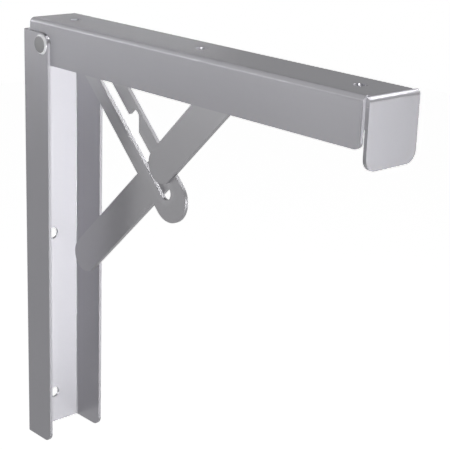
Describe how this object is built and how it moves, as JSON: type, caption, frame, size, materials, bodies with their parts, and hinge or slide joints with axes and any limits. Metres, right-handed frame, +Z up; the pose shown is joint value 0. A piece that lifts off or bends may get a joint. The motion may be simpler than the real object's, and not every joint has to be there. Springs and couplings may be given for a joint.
{
  "type": "folding shelf bracket",
  "caption": "Steel folding shelf bracket: a wall rail and a shelf arm on one pivot, with a two-piece strut and a slotted latch link that lets the arm fold down into the rail.",
  "frame": {"origin": "on the wall face of the rail, at the middle screw hole", "axes": "+X away from the wall along the open arm, +Y across the bracket to its far side, +Z up along the rail"},
  "size_m": [0.3105, 0.0498, 0.308],
  "materials": {
    "sheet_steel": "satin",
    "strut_steel": "satin",
    "rivet_steel": "satin"
  },
  "bodies": {
    "rail": {"wall_rail": "sheet_steel", "main_pivot_rivet": "rivet_steel", "pivot_sleeve_near": "rivet_steel", "pivot_sleeve_far": "rivet_steel", "pivot_washer_near": "rivet_steel", "pivot_washer_far": "rivet_steel", "lower_strut_rivet": "rivet_steel", "lower_strut_spacer": "rivet_steel"},
    "arm": {"shelf_arm": "sheet_steel", "upper_strut_rivet": "rivet_steel", "upper_strut_sleeve": "rivet_steel"},
    "strut_lower": {"lower_strut": "strut_steel", "knee_rivet_far": "rivet_steel"},
    "strut_upper": {"upper_strut": "strut_steel", "knee_rivet_near": "rivet_steel"},
    "link": {"latch_link": "strut_steel", "knee_roller": "rivet_steel"}
  },
  "joints": [
    {"name": "arm_fold", "type": "hinge", "parent": "rail", "child": "arm", "pos_m": [0.0223, 0, 0.1424], "axis": [0, 1, 0], "range_deg": [0, 88]},
    {"name": "lower_strut_swing", "type": "hinge", "parent": "rail", "child": "strut_lower", "pos_m": [0.0203, 0, -0.0146], "axis": [0, 1, 0], "range_deg": [-48.5, 0]},
    {"name": "upper_strut_swing", "type": "hinge", "parent": "arm", "child": "strut_upper", "pos_m": [0.1798, 0, 0.1424], "axis": [0, 1, 0], "range_deg": [0, 45.1]},
    {"name": "link_swing", "type": "hinge", "parent": "rail", "child": "link", "pos_m": [0.0223, 0, 0.1424], "axis": [0, 1, 0], "range_deg": [0, 47.3]}
  ],
  "couplings": [
    {"joint": "lower_strut_swing", "follows": "arm_fold", "ratio": -0.55},
    {"joint": "upper_strut_swing", "follows": "arm_fold", "ratio": 0.5114},
    {"joint": "link_swing", "follows": "arm_fold", "ratio": 0.5364}
  ]
}
